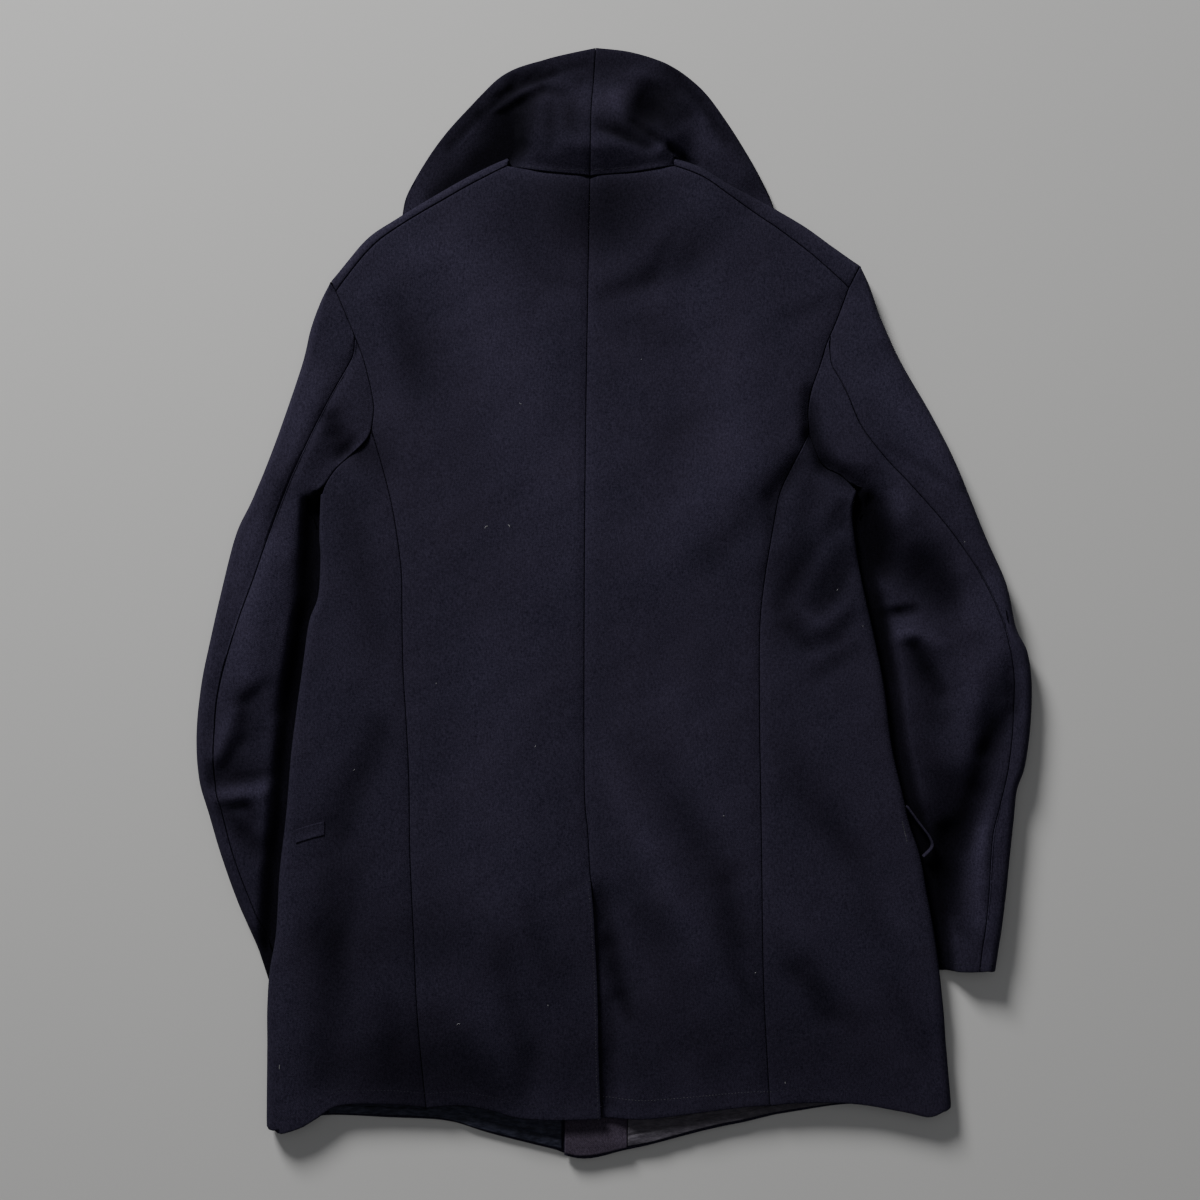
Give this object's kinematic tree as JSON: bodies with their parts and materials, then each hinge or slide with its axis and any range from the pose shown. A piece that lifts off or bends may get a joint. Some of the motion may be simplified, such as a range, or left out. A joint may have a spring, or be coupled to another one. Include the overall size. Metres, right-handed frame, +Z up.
{
  "type": "pea coat",
  "caption": "Navy-black wool pea coat laid flat, back up, with its collar spread, a centre-back vent, curved side-back seams and sleeves tucked under the sides",
  "frame": {"origin": "centre of the footprint, on the surface that the coat lies on", "axes": "+X to the wearer's right, +Y from the hem to the collar, +Z up, out of the back"},
  "size_m": [0.7328, 0.9776, 0.027],
  "materials": {
    "melton": "matte napped wool",
    "lining": "soft satin lining",
    "button": "satin"
  },
  "bodies": {
    "root": {"back_left": "melton", "back_right": "melton", "front_left": "melton", "front_right": "melton", "top_sleeve_left": "melton", "under_sleeve_left": "melton", "top_sleeve_right": "melton", "under_sleeve_right": "melton", "under_collar_left": "melton", "under_collar_right": "melton", "top_collar": "melton", "facing_right": "melton", "lining_left": "lining", "lining_right": "lining", "pocket_welt_left": "melton", "pocket_welt_right": "melton", "button_1_1": "button", "button_1_2": "button", "button_1_3": "button", "button_1_4": "button", "button_2_1": "button", "button_2_2": "button", "button_2_3": "button", "button_2_4": "button"}
  },
  "joints": []
}
